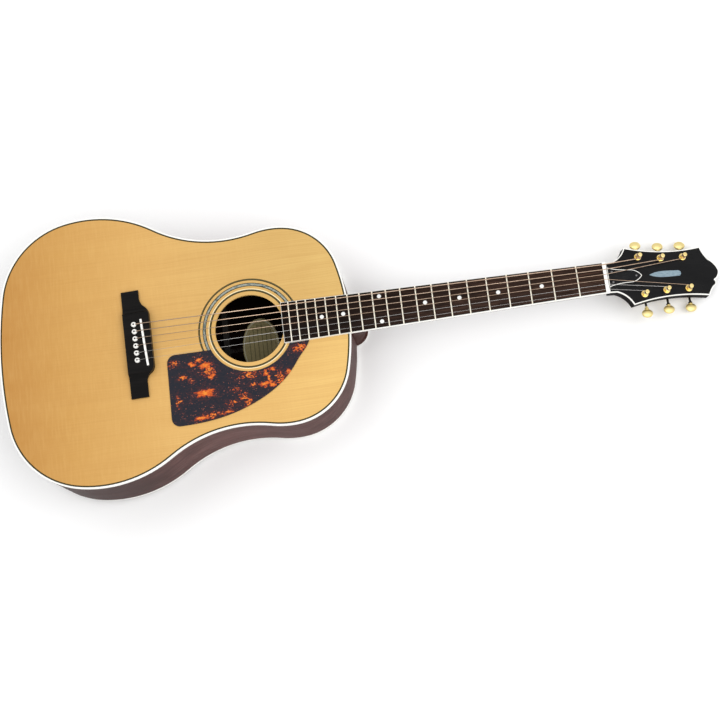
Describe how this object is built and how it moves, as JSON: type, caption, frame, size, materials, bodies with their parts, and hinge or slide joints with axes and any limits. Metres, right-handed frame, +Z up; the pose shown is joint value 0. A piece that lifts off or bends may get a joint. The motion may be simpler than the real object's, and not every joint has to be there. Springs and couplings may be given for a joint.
{
  "type": "acoustic guitar",
  "caption": "Flat-top steel-string acoustic guitar with a slope-shouldered hollow body, belly bridge, bound neck and open geared tuning machines.",
  "frame": {"origin": "middle of the bounding box on the surface that the domed back rests on", "axes": "+X along the neck to the headstock, +Y to the bass side, +Z up out of the face"},
  "size_m": [1.0436, 0.3995, 0.142],
  "materials": {
    "spruce_top": "satin lacquer over quartersawn spruce",
    "rosette_inlay": "gloss shell and line inlay",
    "tortoiseshell": "polished tortoiseshell pattern sheet",
    "ivory_plastic": "gloss cream-white binding",
    "purfling_lines": "black and white line",
    "rosewood_sides": "gloss lacquer over reddish-brown rosewood",
    "rosewood_back": "gloss lacquer over reddish-brown rosewood",
    "dark_wood_strip": "gloss lacquer",
    "mahogany_inner": "bare sanded wood",
    "marquetry_strip": "gloss lacquer over small wood mosaic",
    "spruce_brace": "bare planed spruce",
    "paper_label": "blank uncoated paper",
    "bone": "polished bone",
    "ebony": "oiled ebony",
    "white_pin": "polished white pin with a dark dot",
    "rosewood_board": "oiled dark rosewood",
    "pearl": "polished mother of pearl",
    "blue_pearl": "polished blue-white shell",
    "nickel_silver": "polished fret wire",
    "black_lacquer": "gloss black lacquered veneer",
    "cover_plastic": "gloss black laminate",
    "mahogany_neck": "gloss lacquer over dark red mahogany",
    "rod_steel": "plain steel",
    "gold_plate": "polished gold plating",
    "plain_steel": "bright plain wire",
    "wound_bronze": "wound phosphor bronze"
  },
  "bodies": {
    "guitar_body": {"soundboard": "spruce_top", "rosette": "rosette_inlay", "pickguard": "tortoiseshell", "top_binding": "ivory_plastic", "top_purfling": "purfling_lines", "back_binding": "ivory_plastic", "side_bass": "rosewood_sides", "side_treble": "rosewood_sides", "tail_graft": "dark_wood_strip", "neck_block": "mahogany_inner", "tail_block": "mahogany_inner", "linings": "mahogany_inner", "back_plate_bass": "rosewood_back", "back_plate_treble": "rosewood_back", "back_center_strip": "marquetry_strip", "back_braces": "spruce_brace", "back_reinforcement_strip": "spruce_brace", "label": "paper_label", "x_brace": "spruce_brace", "soundboard_braces": "spruce_brace", "saddle": "bone", "bridge": "ebony", "bridge_plate": "mahogany_inner", "bridge_pins": "white_pin", "strap_button": "ebony", "fretboard_binding": "ivory_plastic", "fretboard": "rosewood_board", "position_markers": "pearl", "frets": "nickel_silver", "string_1": "plain_steel", "string_2": "plain_steel", "string_3": "wound_bronze", "string_4": "wound_bronze", "string_5": "wound_bronze", "string_6": "wound_bronze", "nut": "bone", "headstock_veneer": "black_lacquer", "headstock_inlay": "blue_pearl", "headstock_binding": "ivory_plastic", "truss_rod_cover": "cover_plastic", "neck": "mahogany_neck", "heel_cap": "ivory_plastic", "truss_rod": "rod_steel", "tuner_bushings": "gold_plate", "tuner_screws": "gold_plate", "truss_cover_screws": "rod_steel", "tuner_plates": "gold_plate"},
    "tuning_button_1": {"tuning_button_1": "gold_plate"},
    "string_post_1": {"string_post_1": "gold_plate"},
    "tuning_button_2": {"tuning_button_2": "gold_plate"},
    "string_post_2": {"string_post_2": "gold_plate"},
    "tuning_button_3": {"tuning_button_3": "gold_plate"},
    "string_post_3": {"string_post_3": "gold_plate"},
    "tuning_button_4": {"tuning_button_4": "gold_plate"},
    "string_post_4": {"string_post_4": "gold_plate"},
    "tuning_button_5": {"tuning_button_5": "gold_plate"},
    "string_post_5": {"string_post_5": "gold_plate"},
    "tuning_button_6": {"tuning_button_6": "gold_plate"},
    "string_post_6": {"string_post_6": "gold_plate"}
  },
  "joints": [
    {"name": "button_1_turn", "type": "hinge", "parent": "guitar_body", "child": "tuning_button_1", "pos_m": [0.41327, -0.0272, 0.03128], "axis": [0, 1, 0], "continuous": true},
    {"name": "post_1_turn", "type": "hinge", "parent": "guitar_body", "child": "string_post_1", "pos_m": [0.4067, -0.0272, 0.03355], "axis": [0.3272, 0, 0.9449], "continuous": true},
    {"name": "button_2_turn", "type": "hinge", "parent": "guitar_body", "child": "tuning_button_2", "pos_m": [0.44445, -0.0236, 0.02048], "axis": [0, 1, 0], "continuous": true},
    {"name": "post_2_turn", "type": "hinge", "parent": "guitar_body", "child": "string_post_2", "pos_m": [0.43789, -0.0236, 0.02275], "axis": [0.3272, 0, 0.9449], "continuous": true},
    {"name": "button_3_turn", "type": "hinge", "parent": "guitar_body", "child": "tuning_button_3", "pos_m": [0.47564, -0.0232, 0.00968], "axis": [0, 1, 0], "continuous": true},
    {"name": "post_3_turn", "type": "hinge", "parent": "guitar_body", "child": "string_post_3", "pos_m": [0.46907, -0.0232, 0.01196], "axis": [0.3272, 0, 0.9449], "continuous": true},
    {"name": "button_4_turn", "type": "hinge", "parent": "guitar_body", "child": "tuning_button_4", "pos_m": [0.47441, 0.0232, 0.01011], "axis": [0, 1, 0], "continuous": true},
    {"name": "post_4_turn", "type": "hinge", "parent": "guitar_body", "child": "string_post_4", "pos_m": [0.46784, 0.0232, 0.01238], "axis": [0.3272, 0, 0.9449], "continuous": true},
    {"name": "button_5_turn", "type": "hinge", "parent": "guitar_body", "child": "tuning_button_5", "pos_m": [0.44322, 0.0236, 0.0209], "axis": [0, 1, 0], "continuous": true},
    {"name": "post_5_turn", "type": "hinge", "parent": "guitar_body", "child": "string_post_5", "pos_m": [0.43666, 0.0236, 0.02318], "axis": [0.3272, 0, 0.9449], "continuous": true},
    {"name": "button_6_turn", "type": "hinge", "parent": "guitar_body", "child": "tuning_button_6", "pos_m": [0.41204, 0.0272, 0.0317], "axis": [0, 1, 0], "continuous": true},
    {"name": "post_6_turn", "type": "hinge", "parent": "guitar_body", "child": "string_post_6", "pos_m": [0.40547, 0.0272, 0.03398], "axis": [0.3272, 0, 0.9449], "continuous": true}
  ],
  "couplings": [
    {"joint": "post_1_turn", "follows": "button_1_turn", "ratio": 0.055556},
    {"joint": "post_2_turn", "follows": "button_2_turn", "ratio": 0.055556},
    {"joint": "post_3_turn", "follows": "button_3_turn", "ratio": 0.055556},
    {"joint": "post_4_turn", "follows": "button_4_turn", "ratio": -0.055556},
    {"joint": "post_5_turn", "follows": "button_5_turn", "ratio": -0.055556},
    {"joint": "post_6_turn", "follows": "button_6_turn", "ratio": -0.055556}
  ]
}
